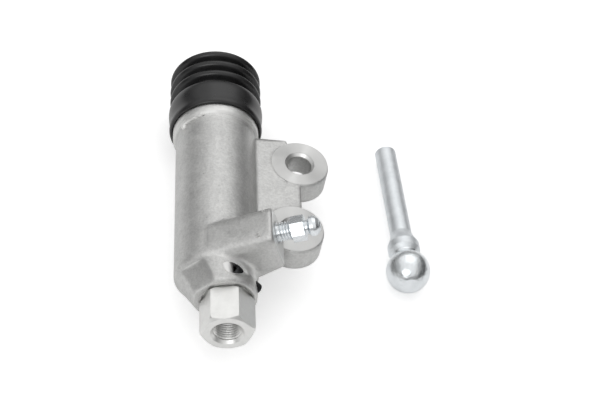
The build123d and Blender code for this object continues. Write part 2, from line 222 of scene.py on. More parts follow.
softbox("lamp_over", (0.08, 0.42, 0.80), 0.80, 0.9)
softbox("lamp_front", (-0.36, -0.77, 0.60), 0.50, 1.3)

# %% [markdown]
# ## The floor
# The part and its rod lie on a large flat sheet. One square face is enough, a hair below the lowest solid,
# so that shadows start where the metal meets the sheet.

# %% Floor
floor_z = cad_low.z - 0.05 * MM
floor_half = 2.0
floor_bm = bmesh.new()
bmesh.ops.create_grid(floor_bm, x_segments=1, y_segments=1, size=floor_half)
bmesh.ops.translate(floor_bm, verts=floor_bm.verts, vec=(0, 0, floor_z))
floor_mesh = bpy.data.meshes.new("studio_floor")
floor_bm.to_mesh(floor_mesh)
floor_bm.free()
floor = bpy.data.objects.new("studio_floor", floor_mesh)
scene.collection.objects.link(floor)
print("floor at", round(floor_z / MM, 2), "mm")

# %% [markdown]
# ### White paper
# The sheet is matt paper, so it carries the shadow of the part. Extra glow takes it to paper white, but
# the Light Path node gives that glow to the camera and to reflections only: the background turns white
# and no more light falls on the part.

# %% Paper
paper_white = (0.82, 0.82, 0.82, 1.0)
glow_level = 0.47
glow_in_metal = 0.36

paper = bpy.data.materials.new("white_paper")
paper.use_nodes = True
paper_tree = paper.node_tree
paper_tree.nodes.clear()
matt = add(paper_tree, "ShaderNodeBsdfDiffuse", {"Color": paper_white})
glow = add(paper_tree, "ShaderNodeEmission", {"Color": (1.0, 1.0, 1.0, 1.0)})
ray = add(paper_tree, "ShaderNodeLightPath").outputs
seen = reckon(paper_tree, "MULTIPLY_ADD", ray["Is Glossy Ray"], glow_in_metal, ray["Is Camera Ray"])
seen = reckon(paper_tree, "MAXIMUM", seen, ray["Is Transmission Ray"])
feed(paper_tree, reckon(paper_tree, "MULTIPLY", seen, glow_level), glow.inputs["Strength"])
both = add(paper_tree, "ShaderNodeAddShader")
feed(paper_tree, matt.outputs[0], both.inputs[0])
feed(paper_tree, glow.outputs[0], both.inputs[1])
paper_out = add(paper_tree, "ShaderNodeOutputMaterial")
feed(paper_tree, both.outputs[0], paper_out.inputs["Surface"])
floor_mesh.materials.append(paper)
print("paper of", len(paper_tree.nodes), "nodes")

# %% [markdown]
# ## Shared surface effects
# Metal and rubber look real when light breaks on detail that is too small to model: sand grain, tool
# marks, plating and mould skin. Each effect is a node group, built once and placed in several materials
# with its own numbers. A group gives colours, heights, masks and normals, and the shader stays in the
# material. Every pattern reads Object coordinates, so it sits still on the metal when a piece moves.

# %% Group helpers
def open_group(name, inputs, outputs):
    """Empty shader node group with named sockets, its entry and its exit."""
    group = bpy.data.node_groups.new(name, "ShaderNodeTree")
    for label, value in inputs.items():
        kind = "Vector" if isinstance(value, tuple) else "Float"
        made = group.interface.new_socket(label, in_out="INPUT", socket_type="NodeSocket" + kind)
        made.default_value = value
    for label, kind in outputs.items():
        group.interface.new_socket(label, in_out="OUTPUT", socket_type="NodeSocket" + kind)
    entry = group.nodes.new("NodeGroupInput").outputs
    leave = group.nodes.new("NodeGroupOutput").inputs
    return group, entry, leave


def object_place(tree):
    """Place on the part, in metres."""
    return add(tree, "ShaderNodeTexCoord").outputs["Object"]


def noise(tree, scale, detail, roughness, vector=None):
    """Noise texture on Object coordinates, giving its factor."""
    made = add(tree, "ShaderNodeTexNoise", {"Detail": detail, "Roughness": roughness})
    feed(tree, scale, made.inputs["Scale"])
    feed(tree, vector or object_place(tree), made.inputs["Vector"])
    return made.outputs["Fac"]


print("group helpers:", [f.__name__ for f in (open_group, object_place, noise)])

# %% [markdown]
# ### The skin of a casting
# Aluminium that froze in a mould is grey and blotchy, with grain, specks and a few pits. A picture of
# metal could be wrapped on it, but noise has no seams and no repeats. Where the skin is rubbed or fresh,
# or a highlight is painted on a corner, it is lighter, so the group takes a Light value and does the mixing
# itself.

# %% Cast skin
# Pale tone that lightened skin goes towards: bare metal on fresh and rubbed places, a painted highlight on
# corners.
bare_metal_and_highlight = (0.86, 0.86, 0.845)
pit_grey = (0.20, 0.20, 0.195)
dark_speck = (0.32, 0.32, 0.315)
light_speck = (0.78, 0.78, 0.77)
speck_share = 0.22
cast_greys = [(0.28, (0.47, 0.47, 0.465)), (0.5, (0.57, 0.57, 0.56)), (0.72, (0.65, 0.65, 0.64))]


def scattered_pits(tree):
    """Small round pits: the middles of cells, kept only where slow noise is high."""
    cells = add(tree, "ShaderNodeTexVoronoi", {"Scale": 420.0, "Randomness": 1.0})
    feed(tree, object_place(tree), cells.inputs["Vector"])
    near_middle = ramp(tree, cells.outputs["Distance"], [(0.0, 1.0), (0.13, 0.0)])
    kept = ramp(tree, noise(tree, 190.0, 2.0, 0.6), [(0.56, 0.0), (0.64, 1.0)])
    return reckon(tree, "MULTIPLY", near_middle, kept)


def cast_skin_group():
    """Sand-cast skin: its grain as a height, and its blotchy colour and roughness."""
    group, entry, leave = open_group(
        "cast_skin",
        {"Light": 0.0, "Grain Scale": 1300.0, "Blotch Scale": 130.0},
        {"Height": "Float", "Color": "Color", "Roughness": "Float"},
    )
    grain = noise(group, entry["Grain Scale"], 5.0, 0.65)
    waves = noise(group, 260.0, 3.0, 0.5)
    pit = scattered_pits(group)
    rough = reckon(group, "MULTIPLY_ADD", waves, 1.3, grain)
    feed(group, reckon(group, "MULTIPLY_ADD", pit, -1.6, rough), leave["Height"])

    blotch = noise(group, entry["Blotch Scale"], 5.0, 0.7)
    specks = ramp(group, noise(group, 1100.0, 4.0, 0.75), [(0.38, 0.0), (0.62, 1.0)])
    speckled = mixed(group, specks, dark_speck, light_speck)
    grey = mixed(group, speck_share, ramp(group, blotch, cast_greys), speckled)
    # Lighter skin: fresh or rubbed metal, and on the casting's corners partly a painted highlight.
    lightened = mixed(group, entry["Light"], grey, bare_metal_and_highlight)
    feed(group, mixed(group, reckon(group, "MULTIPLY", pit, 0.75), lightened, pit_grey), leave["Color"])
    feed(group, reckon(group, "MULTIPLY_ADD", blotch, 0.18, 0.34), leave["Roughness"])
    return group


cast_skin = cast_skin_group()
print("cast_skin of", len(cast_skin.nodes), "nodes")

# %% [markdown]
# ### Rings of the turning tool
# A cutter that faces a pad leaves fine rings about its centre. They are a sine wave of the distance from
# the axis, which stays sharp at any size and costs no faces.

# %% Turned rings
def turned_rings_group():
    """Tool rings round an axis that runs along Z through a centre, in metres."""
    group, entry, leave = open_group(
        "turned_rings", {"Centre": (0.0, 0.0, 0.0), "Pitch": 0.00032}, {"Height": "Float"}
    )
    spoke = reckon_vector(group, "SUBTRACT", object_place(group), entry["Centre"])
    radius = reckon_vector(group, "LENGTH", reckon_vector(group, "MULTIPLY", spoke, (1.0, 1.0, 0.0)))
    turns = reckon(group, "DIVIDE", radius, entry["Pitch"])
    feed(group, reckon(group, "SINE", reckon(group, "MULTIPLY", turns, 2 * math.pi)), leave["Height"])
    return group


turned_rings = turned_rings_group()
print("turned_rings of", len(turned_rings.nodes), "nodes")

# %% [markdown]
# ### Rounded corners, rubbed and painted bright
# The solids have crisp corners, and real ones never are. A bevel in the mesh would have to work on every
# casting edge at once. The Bevel node rounds the shading instead and leaves the mesh alone, and where the
# rounded normal leaves the true one there is a corner. There the casting is lightened: partly skin rubbed
# bright, partly a painted highlight where edges catch the light.

# %% Rounded corners
def rounded_corners_group():
    """Normal that rounds corners by a radius in metres, and a mask of those corners."""
    group, entry, leave = open_group(
        "rounded_corners", {"Radius": 0.0001}, {"Normal": "Vector", "Corner": "Float"}
    )
    corner = add(group, "ShaderNodeBevel", samples=8)
    feed(group, entry["Radius"], corner.inputs["Radius"])
    flat_normal = add(group, "ShaderNodeNewGeometry").outputs["Normal"]
    agreement = reckon_vector(group, "DOT_PRODUCT", corner.outputs["Normal"], flat_normal)
    feed(group, corner.outputs["Normal"], leave["Normal"])
    feed(group, ramp(group, agreement, [(0.86, 1.0), (0.985, 0.0)]), leave["Corner"])
    return group


rounded_corners = rounded_corners_group()
print("rounded_corners of", len(rounded_corners.nodes), "nodes")

# %% [markdown]
# ### Plating and grinding
# Zinc plate is cloudy, and ground steel has short streaks that run round or along the piece. One noise,
# pulled out along an axis, gives either, because a stretch of 1 all round is plain fine grain.

# %% Plating
def plating_group():
    """Plated or fine-ground metal: short streaks along one axis and cloudy patches."""
    group, entry, leave = open_group(
        "plating",
        {"Stretch": (1.0, 1.0, 1.0), "Streak Scale": 900.0},
        {"Height": "Float", "Cloud": "Float"},
    )
    pulled = reckon_vector(group, "MULTIPLY", object_place(group), entry["Stretch"])
    feed(group, noise(group, entry["Streak Scale"], 4.0, 0.6, pulled), leave["Height"])
    feed(group, noise(group, 240.0, 4.0, 0.6), leave["Cloud"])
    return group


plating = plating_group()
print("plating of", len(plating.nodes), "nodes")

# %% [markdown]
# ### The skin of moulded rubber
# Rubber takes its pimpling from the mould, dulls in patches as it blooms, and shows a few grey marks
# where fingers or the box rubbed it. Three noises of different size are enough for that.

# %% Rubber skin
def rubber_skin_group():
    """Moulded rubber: fine pimpling, dull patches and a few rubbed marks."""
    group, entry, leave = open_group(
        "rubber_skin", {"Grain Scale": 2600.0}, {"Height": "Float", "Bloom": "Float", "Rub": "Float"}
    )
    feed(group, noise(group, entry["Grain Scale"], 3.0, 0.6), leave["Height"])
    feed(group, noise(group, 170.0, 4.0, 0.6), leave["Bloom"])
    feed(group, ramp(group, noise(group, 310.0, 5.0, 0.75), [(0.66, 0.0), (0.72, 1.0)]), leave["Rub"])
    return group


rubber_skin = rubber_skin_group()
print("rubber_skin of", len(rubber_skin.nodes), "nodes")

# %% [markdown]
# ## Materials
# Each material starts from the colour of the real finish and then varies it: the casting is dull with
# bright machined faces, the union is satin, the screw and the rod are zinc plated, the boot is rubber
# with a soft sheen. Masks come from the place on the part, so a machined face ends where the CAD says.

# %% Material helpers
UP = (0.0, 0.0, 1.0)
ALONG_BORE = (0.0, 1.0, 0.0)


def open_material(name):
    """Material with its Principled shader, ready for links."""
    material = bpy.data.materials.new(name)
    material.use_nodes = True
    return material, material.node_tree, material.node_tree.nodes["Principled BSDF"].inputs


def use(tree, group, inputs=None):
    """A group placed in a material, with its own values or links."""
    made = add(tree, "ShaderNodeGroup", node_tree=group)
    for key, value in (inputs or {}).items():
        feed(tree, value, made.inputs[key])
    return made.outputs


def bump(tree, height, depth, normal=None, strength=1.0):
    """Bump from a height, its depth in metres."""
    made = add(tree, "ShaderNodeBump", {"Strength": strength, "Distance": depth})
    feed(tree, height, made.inputs["Height"])
    if normal is not None:
        feed(tree, normal, made.inputs["Normal"])
    return made.outputs["Normal"]


def from_point(tree, point):
    """Vector from a point to the surface."""
    return reckon_vector(tree, "SUBTRACT", object_place(tree), point)


def off_point(tree, point):
    """Distance of the surface from a point."""
    return reckon_vector(tree, "LENGTH", from_point(tree, point))


def along(tree, point, axis):
    """Distance of the surface from a point, measured along an axis."""
    return reckon_vector(tree, "DOT_PRODUCT", from_point(tree, point), axis)


def off_axis(tree, point, axis):
    """Distance of the surface from an axis through a point."""
    crossed = reckon_vector(tree, "CROSS_PRODUCT", from_point(tree, point), axis)
    return reckon_vector(tree, "LENGTH", crossed)


def between(tree, value, low, high):
    """1 where a value lies between two limits."""
    over = reckon(tree, "GREATER_THAN", value, low)
    return reckon(tree, "MULTIPLY", over, reckon(tree, "LESS_THAN", value, high))


def any_of(tree, first, *others):
    """1 where any of the masks is 1."""
    for other in others:
        first = reckon(tree, "MAXIMUM", first, other)
    return first


print("masks can use:", [f.__name__ for f in (off_point, along, off_axis, between, any_of)])

# %% [markdown]
# ### What the cutter touched
# The casting was machined in four places: the two ear pads with the mouths of their bolt holes, the face
# of the bleeder boss, and the hole of the roll pin. Each is a mask, 1 on the cut metal and 0 on the skin,
# reckoned from the same centres and radii that the CAD model has.

# %% Machined faces
ear_centres = (Vector((1.5, 16.25, 0.0)) * MM, Vector((-1.5, -16.25, 0.0)) * MM)
pad_height = 9.5 * MM
pad_radius = 10.62 * MM
hole_edge_radius = 5.8 * MM
hole_edge_depth = 1.15 * MM
boss_mouth = Vector((-10.71, -32.05, 24.35)) * MM
boss_axis = Vector((math.cos(math.radians(24)), 0.0, math.sin(math.radians(24))))
boss_reach = 11.5 * MM
pin_centre = Vector((-19.2, -43.65, 10.942)) * MM
pin_axis = Vector((math.cos(math.radians(45.7)), 0.0, -math.sin(math.radians(45.7))))
pin_hole_radius = 2.15 * MM
face_band = 0.12 * MM


def ear_cuts(tree):
    """Masks of the pads and of the hole mouths, and the height of the rings on the pads."""
    at_pad = between(tree, along(tree, (0, 0, pad_height), UP), -face_band, face_band)
    near_top = reckon(tree, "GREATER_THAN", along(tree, (0, 0, pad_height - hole_edge_depth), UP), 0.0)
    pads, mouths, rings = [], [], []
    for centre in ear_centres:
        radius = off_axis(tree, centre, UP)
        on_pad = reckon(tree, "MULTIPLY", reckon(tree, "LESS_THAN", radius, pad_radius), at_pad)
        in_mouth = reckon(tree, "LESS_THAN", radius, hole_edge_radius)
        pads.append(on_pad)
        mouths.append(reckon(tree, "MULTIPLY", in_mouth, near_top))
        turned = use(tree, turned_rings, {"Centre": centre})
        rings.append(reckon(tree, "MULTIPLY", on_pad, turned["Height"]))
    return any_of(tree, *pads), any_of(tree, *mouths), reckon(tree, "ADD", *rings)


def boss_cut(tree):
    """Mask of the boss's end face."""
    near_boss = reckon(tree, "LESS_THAN", off_point(tree, boss_mouth), boss_reach)
    at_face = between(tree, along(tree, boss_mouth, boss_axis), -face_band, face_band)
    return reckon(tree, "MULTIPLY", at_face, near_boss)


def pin_cut(tree):
    """Mask of the roll pin's hole."""
    return reckon(tree, "LESS_THAN", off_axis(tree, pin_centre, pin_axis), pin_hole_radius)


print("pads of", round(2 * pad_radius / MM, 2), "mm across, at", round(pad_height / MM, 2), "mm")

# %% [markdown]
# ### Corners as the mould leaves them
# A mould has generous fillets, and the widest are where the boss grows out of the barrel. The radius is
# therefore a value of the place: more round the boss, fading towards its cut face, and only a hair on
# machined edges.

# %% Mould radius
mould_round = 2.1 * MM
boss_extra_round = 1.5 * MM
boss_length = 21.0 * MM
boss_fade = 4.0 * MM
clear_of_face = 0.5 * MM
cut_round = 0.15 * MM


def mould_radius(tree, cast):
    """Corner radius at each place, where cast is 1 on the skin and 0 on cut metal."""
    on_boss = reckon(tree, "LESS_THAN", off_point(tree, boss_mouth), boss_length)
    radius = reckon(tree, "MULTIPLY_ADD", on_boss, boss_extra_round, mould_round)
    behind_face = reckon(tree, "MULTIPLY", along(tree, boss_mouth, boss_axis), -1.0)
    fading = ramp(tree, reckon(tree, "DIVIDE", behind_face, boss_fade), [(0.0, 0.1), (1.0, 1.0)])
    past_face = reckon(tree, "LESS_THAN", behind_face, -clear_of_face)
    radius = reckon(tree, "MULTIPLY", radius, reckon(tree, "MAXIMUM", fading, past_face))
    return reckon(tree, "MULTIPLY_ADD", cast, radius, cut_round)


print("mould corners", round(mould_round / MM, 2), "mm, cut edges", round(cut_round / MM, 2), "mm")

# %% [markdown]
# ### Cast aluminium
# The body is one casting. Its grainy skin is lighter on the collar, and on corners, where it is partly
# rubbed and partly painted with a highlight; the machined faces are brighter and smoother. On the pads the
# shine is stretched across the tool rings, as on the turned bottom of a pan: Anisotropic does this in the
# shader, and its Tangent points out from the ear.

# %% Cast aluminium
cut_metal = (0.78, 0.78, 0.77)
collar_from = 28.6 * MM
# Share of lightening on corners and the collar; on corners it is partly rubbed skin and partly a painted
# highlight.
corner_and_collar_light = 0.55
fresh_light = 0.9
grain_depth = 0.20 * MM
grain_strength = 0.55
ring_depth = 0.012 * MM


def from_nearest_ear(tree):
    """Direction of the spokes that run out from the centre of the nearer ear."""
    on_upper = reckon(tree, "GREATER_THAN", along(tree, (0, 0, 0), ALONG_BORE), 0.0)
    ear_centre = mixed(tree, on_upper, ear_centres[1], ear_centres[0])
    return reckon_vector(tree, "NORMALIZE", reckon_vector(tree, "SUBTRACT", object_place(tree), ear_centre))


def cast_aluminium():
    """Grainy casting with machined pads, hole mouths, boss face and pin hole."""
    material, tree, inputs = open_material("cast_aluminium")
    pads, mouths, rings = ear_cuts(tree)
    machined = any_of(tree, pads, mouths, boss_cut(tree), pin_cut(tree))
    cast = reckon(tree, "SUBTRACT", 1.0, machined)
    corners = use(tree, rounded_corners, {"Radius": mould_radius(tree, cast)})
    collar = reckon(tree, "GREATER_THAN", along(tree, (0, collar_from, 0), ALONG_BORE), 0.0)
    # Corners and the collar are lightened; on corners this is partly rubbed skin and partly a painted
    # highlight.
    light = reckon(tree, "MULTIPLY", reckon(tree, "MAXIMUM", corners["Corner"], collar), corner_and_collar_light)
    skin = use(tree, cast_skin, {"Light": light})

    feed(tree, mixed(tree, machined, skin["Color"], cut_metal), inputs["Base Color"])
    rough = reckon(tree, "MULTIPLY_ADD", machined, -0.08, skin["Roughness"])
    feed(tree, reckon(tree, "MULTIPLY_ADD", pads, 0.12, rough), inputs["Roughness"])
    inputs["Metallic"].default_value = 1.0
    feed(tree, pads, inputs["Anisotropic"])
    feed(tree, from_nearest_ear(tree), inputs["Tangent"])
    grain = reckon(tree, "MULTIPLY", skin["Height"], cast)
    grained = bump(tree, grain, grain_depth, corners["Normal"], grain_strength)
    feed(tree, bump(tree, rings, ring_depth, grained, 0.8), inputs["Normal"])
    return material


def fresh_casting():
    """Bright, uncut metal of the small marks that the mould left."""
    material, tree, inputs = open_material("fresh_casting")
    corners = use(tree, rounded_corners, {"Radius": mould_radius(tree, 1.0)})
    skin = use(tree, cast_skin, {"Light": fresh_light})
    feed(tree, skin["Color"], inputs["Base Color"])
    feed(tree, skin["Roughness"], inputs["Roughness"])
    inputs["Metallic"].default_value = 1.0
    grained = bump(tree, skin["Height"], grain_depth, corners["Normal"], grain_strength)
    feed(tree, grained, inputs["Normal"])
    return material


finishes = {"cast_aluminium": cast_aluminium(), "fresh_casting": fresh_casting()}
print("castings:", sorted(finishes))

# %% [markdown]
# ### Steel and zinc
# The union is satin steel, ground fine. The bleed screw and the push rod are zinc plated: bluish, bright
# and a little cloudy. The roll pin is blackened, and the piston is turned aluminium. They differ only in
# tone, streaks and gloss, so one function makes them all. The ball of the rod is polished over small
# dents, which break up the mirror image of the room.

# %% Metals
edge_round = 0.12 * MM
rod_ball_centre = Vector((43.3, -19.75, -5.15)) * MM
rod_ball_reach = 9.3 * MM
ball_gloss = 0.10
streak_floor = 0.3


def plated_steel(name, tone, dark, roughness, spread, streaks, depth, stretch=(1.0, 1.0, 1.0), ball=False):
    """Metal with fine streaks and cloudy patches between two tones, with a polished ball if it has one."""
    material, tree, inputs = open_material(name)
    marks = use(tree, plating, {"Stretch": stretch, "Streak Scale": streaks})
    cloud = ramp(tree, marks["Cloud"], [(0.35, 0.0), (0.65, 1.0)])
    feed(tree, mixed(tree, cloud, dark, tone), inputs["Base Color"])
    satin = reckon(tree, "MULTIPLY_ADD", marks["Height"], spread, roughness)
    normal = use(tree, rounded_corners, {"Radius": edge_round})["Normal"]
    if ball:
        share = reckon(tree, "DIVIDE", off_point(tree, rod_ball_centre), rod_ball_reach)
        on_ball = ramp(tree, share, [(0.96, 1.0), (1.0, 0.0)])
        satin = reckon(tree, "MULTIPLY_ADD", on_ball, ball_gloss - roughness - streak_floor * spread, satin)
        dents = reckon(tree, "MULTIPLY", on_ball, noise(tree, 520.0, 4.0, 0.7))
        normal = bump(tree, dents, 0.22 * MM, normal)
    feed(tree, satin, inputs["Roughness"])
    inputs["Metallic"].default_value = 1.0
    feed(tree, bump(tree, marks["Height"], depth, normal, 0.6), inputs["Normal"])
    return material


metals = {
    "satin_steel": dict(
        tone=(0.83, 0.83, 0.815), dark=(0.77, 0.77, 0.755),
        roughness=0.32, spread=0.15, streaks=700.0, depth=0.02 * MM, stretch=(1.0, 6.0, 1.0),
    ),
    "zinc_steel": dict(
        tone=(0.86, 0.89, 0.91), dark=(0.72, 0.75, 0.77),
        roughness=0.17, spread=0.20, streaks=1400.0, depth=0.03 * MM,
    ),
    "rod_zinc": dict(
        tone=(0.84, 0.87, 0.89), dark=(0.75, 0.78, 0.80),
        roughness=0.36, spread=0.24, streaks=1400.0, depth=0.03 * MM, stretch=(1.0, 0.25, 1.0), ball=True,
    ),
    "black_steel": dict(
        tone=(0.05, 0.05, 0.052), dark=(0.02, 0.02, 0.022),
        roughness=0.30, spread=0.25, streaks=1800.0, depth=0.03 * MM,
    ),
    "machined_aluminium": dict(
        tone=(0.80, 0.80, 0.79), dark=(0.72, 0.72, 0.71),
        roughness=0.25, spread=0.20, streaks=900.0, depth=0.02 * MM, stretch=(0.2, 5.0, 0.2),
    ),
    "spring_steel": dict(
        tone=(0.55, 0.55, 0.56), dark=(0.42, 0.42, 0.43),
        roughness=0.25, spread=0.20, streaks=1500.0, depth=0.02 * MM,
    ),
}
for name, look in metals.items():
    finishes[name] = plated_steel(name, **look)
print("metals:", sorted(metals))

# %% [markdown]
# ### Rubber and plastic
# The boot is black rubber, so most of what is seen of it is sheen: the colour stays near black, and the
# roughness makes the bands of light. The seals are duller, and the spring seat is pale moulded plastic.
# These and the other inner pieces are hidden, but they get their own finish all the same.

# %% Rubber and plastic
def rubber(name, dark, light, roughness, depth):
    """Black moulded rubber with a dull bloom and rubbed marks."""
    material, tree, inputs = open_material(name)
    skin = use(tree, rubber_skin)
    colour = mixed(tree, ramp(tree, skin["Bloom"], [(0.35, 0.0), (0.65, 1.0)]), dark, light)
    marked = mixed(tree, reckon(tree, "MULTIPLY", skin["Rub"], 0.35), colour, (0.10, 0.10, 0.10))
    feed(tree, marked, inputs["Base Color"])
    feed(tree, reckon(tree, "MULTIPLY_ADD", skin["Bloom"], 0.14, roughness), inputs["Roughness"])
    inputs["Specular IOR Level"].default_value = 0.60
    feed(tree, bump(tree, skin["Height"], depth, None, 0.5), inputs["Normal"])
    return material


def pale_plastic():
    """Moulded spring seat, off white with a faint mottle."""
    material, tree, inputs = open_material("plastic_seat")
    marks = use(tree, plating, {"Streak Scale": 1200.0})
    colour = mixed(tree, marks["Cloud"], (0.70, 0.68, 0.62), (0.80, 0.78, 0.73))
    feed(tree, colour, inputs["Base Color"])
    inputs["Roughness"].default_value = 0.45
    feed(tree, bump(tree, marks["Height"], 0.02 * MM, None, 0.5), inputs["Normal"])
    return material


boot_tones = ((0.0035, 0.0035, 0.004), (0.009, 0.009, 0.0095))
seal_tones = ((0.016, 0.016, 0.016), (0.028, 0.028, 0.028))
finishes["boot_rubber"] = rubber("boot_rubber", *boot_tones, roughness=0.22, depth=0.03 * MM)
finishes["seal_rubber"] = rubber("seal_rubber", *seal_tones, roughness=0.45, depth=0.02 * MM)
finishes["plastic_seat"] = pale_plastic()
print("all finishes:", sorted(finishes))

# %% [markdown]
# ### Dressing the solids
# Each CAD solid takes the finish that its record names. The push rod and the bleed screw are both zinc,
# but the rod is larger and softer in its shine, so it has a zinc of its own.

# %% Dress the solids
own_finish = {"push_rod": "rod_zinc"}
for part in frame["record"]["subparts"]:
    mesh = nodes[part["node"]].data
    mesh.materials.clear()
    mesh.materials.append(finishes[own_finish.get(part["node"], part["material_slot"])])
    print(part["node"], "in", mesh.materials[0].name)

# %% [markdown]
# ## Making new pieces
# Every new piece ends the same way: doubles merged, faces turned outwards, smooth shading that stays
# crisp past 50 degrees, a finish, and a body to ride on. Turned pieces begin the same way too, as a few
# vertices that draw half a section, so both steps are helpers.

# %% Piece helpers
bore_centre = Vector((-29.5, 0.0, 4.6)) * MM
crisp_angle = math.radians(50)


def finish_piece(name, bm, body, slot, finish=None):
    """Mesh and object from a bmesh, riding on a body with its finish."""
    bmesh.ops.remove_doubles(bm, verts=bm.verts, dist=0.0005 * MM)
    bmesh.ops.recalc_face_normals(bm, faces=bm.faces)
    mesh = bpy.data.meshes.new(name)
    bm.to_mesh(mesh)
    bm.free()
    mesh.materials.append(finishes[finish or slot])
    mesh.shade_smooth()
    mesh.set_sharp_from_angle(angle=crisp_angle)
    made = bpy.data.objects.new(name, mesh)
    scene.collection.objects.link(made)
    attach(made, body)
    print(name, "faces", len(mesh.polygons))
    return made


def closed_outline(bm, points):
    """Vertices and edges through (radius, station) points in millimetres, in the XY plane."""
    corners = [bm.verts.new((x * MM, y * MM, 0.0)) for x, y in points]
    edges = [bm.edges.new(pair) for pair in zip(corners, corners[1:] + corners[:1])]
    return corners + edges


def boundary(bm):
    """Edges round the open ends of a mesh."""
    return [edge for edge in bm.edges if edge.is_boundary]


print("bore's axis at x, z =", round(bore_centre.x / MM, 2), round(bore_centre.z / MM, 2), "mm")

# %% [markdown]
# ## The rubber boot
# A boot like this is moulded in one piece: a smooth cuff that grips the casting, then folds that let it
# shorten. It is a turned shape, so its wall is drawn once as a closed outline, from the lip over the
# folds to the mouth and back inside. Drawing it from radii and stations keeps each fold easy to change.

# %% Boot outline
lip_y = 32.45
lip_r = 17.65
waist_r = 17.4
band_r = 17.95
band_end_y = 44.35
first_crest_y = 48.95
fold_pitch = 5.25
crest_r = 17.5
end_draw = 0.1
root_r = 14.3
boot_end_y = 61.05
mouth_r = 4.5
wall = 1.5
body_end_y = 40.25
cuff_inside_r = 15.45
bead_from_y = 34.25
bead_to_y = 37.1
bead_r = 14.4
lip_inside_r = 16.4


def crest(y, r):
    """Broad round top of a fold."""
    line = [(r - 1.35, y - 1.5), (r - 0.45, y - 1.15), (r - 0.03, y - 0.45)]
    line += [(r, y + 0.3), (r - 0.55, y + 1.05)]
    return line


def root(y, r):
    """Tight bottom between two folds."""
    return [(r + 0.45, y - 0.5), (r, y), (r + 0.45, y + 0.5)]


def boot_skin():
    """Outer line of the boot from the lip to the mouth."""
    line = [(lip_r - 0.85, lip_y), (lip_r - 0.4, lip_y + 0.3), (lip_r - 0.1, lip_y + 0.9)]
    line += [(lip_r, lip_y + 1.7), (waist_r, lip_y + 3.6)]
    line += [(band_r - 0.15, lip_y + 7.0), (band_r, lip_y + 9.2), (band_r - 0.25, band_end_y - 0.9)]
    line += [(band_r - 0.9, band_end_y - 0.15), (band_r - 1.9, band_end_y + 0.5)]
    for fold in range(3):
        y = first_crest_y + fold * fold_pitch
        line += root(y - fold_pitch / 2, root_r)
        line += crest(y, crest_r - end_draw * (fold == 2))
    line += [(crest_r - 1.6, boot_end_y - 0.35), (crest_r - 2.4, boot_end_y), (mouth_r + 1.2, boot_end_y)]
    return line


def boot_inside():
    """Inner line of the boot from the mouth back to the lip, with the bead that grips the casting."""
    line = [(mouth_r + 0.3, boot_end_y), (mouth_r, boot_end_y - 0.4), (mouth_r, boot_end_y - 3.2)]
    line += [(mouth_r + 1.2, boot_end_y - 3.5), (mouth_r + 1.6, boot_end_y - 2.2)]
    line += [(mouth_r + 3.0, boot_end_y - wall), (crest_r - 3.4, boot_end_y - wall)]
    for fold in (2, 1, 0):
        y = first_crest_y + fold * fold_pitch
        line += [(crest_r - wall - 0.5, y - 0.1), (root_r - wall, y - fold_pitch / 2)]
    line += [(band_r - wall, band_end_y - 1.6), (band_r - wall, body_end_y + 0.35)]
    line += [(cuff_inside_r, body_end_y - 0.35), (cuff_inside_r, bead_to_y + 0.1)]
    line += [(bead_r, bead_to_y - 0.1), (bead_r, bead_from_y + 0.1)]
    line += [(lip_inside_r, bead_from_y - 0.1), (lip_inside_r, lip_y)]
    return line


print("outline of", len(boot_skin() + boot_inside()), "points")

# %% [markdown]
# ### Spinning the boot
# The outline turns once about the bore. A spin keeps every fold round, and its last ring is merged with
# the first, so that no seam shows. One level of subdivision softens the folds as the mould does.

# %% Boot
boot_bm = bmesh.new()
boot_outline = closed_outline(boot_bm, boot_skin() + boot_inside())
bmesh.ops.spin(
    boot_bm, geom=boot_outline, cent=(0, 0, 0), axis=ALONG_BORE, angle=2 * math.pi, steps=96, use_merge=True
)
bmesh.ops.translate(boot_bm, verts=boot_bm.verts, vec=bore_centre)
boot = finish_piece("rubber_boot", boot_bm, "cylinder", "boot_rubber")
soften = boot.modifiers.new("soften", "SUBSURF")
soften.levels = 1
soften.render_levels = 1
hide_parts("boot")

# %% [markdown]
# ## Marks left by casting
# A mould leaves small extra metal where it was chipped: a lump and a thin ledge below the collar, and
# nubs on the bleeder boss. They are soft blobs, half sunk into the body, each a stretched ball set on
# the skin by its angle round the bore. Sizes vary along the ledge, or it would look like a row of beads.

# %% Casting marks
def place_on_barrel(angle, station, radius):
    """Matrix at a place on the barrel: X outwards, Y along the bore."""
    turn = Matrix.Rotation(-math.radians(angle), 4, "Y")
    return Matrix.Translation(bore_centre) @ turn @ Matrix.Translation(Vector((radius, station, 0)) * MM)


def add_blob(bm, place, sizes):
    """Stretched ball with its half sizes in millimetres."""
    stretch = Matrix.Diagonal((*(Vector(sizes) * MM), 1.0))
    bmesh.ops.create_uvsphere(bm, u_segments=24, v_segments=16, radius=1.0, matrix=place @ stretch)


ledge_from = 142.0
ledge_step = -3.7
ledge_bits = 8
marks_bm = bmesh.new()
add_blob(marks_bm, place_on_barrel(149.0, 27.5, 15.1), (1.1, 1.9, 1.05))
add_blob(marks_bm, place_on_barrel(145.8, 28.6, 15.2), (0.95, 0.9, 1.3))
for bit in range(ledge_bits):
    size = 0.62 + 0.16 * math.sin(2.4 * bit)
    place = place_on_barrel(ledge_from + bit * ledge_step, 28.0 + 0.04 * bit, 15.15)
    add_blob(marks_bm, place, (size * 1.2, size * 0.9, 0.85))
for spot, size in (((-18.4, -37.2, 28.3), 0.75), ((-16.3, -27.1, 29.4), 0.6)):
    add_blob(marks_bm, Matrix.Translation(Vector(spot) * MM), (size, size * 1.3, size))
finish_piece("casting_marks", marks_bm, "cylinder", "cast_aluminium", "fresh_casting")

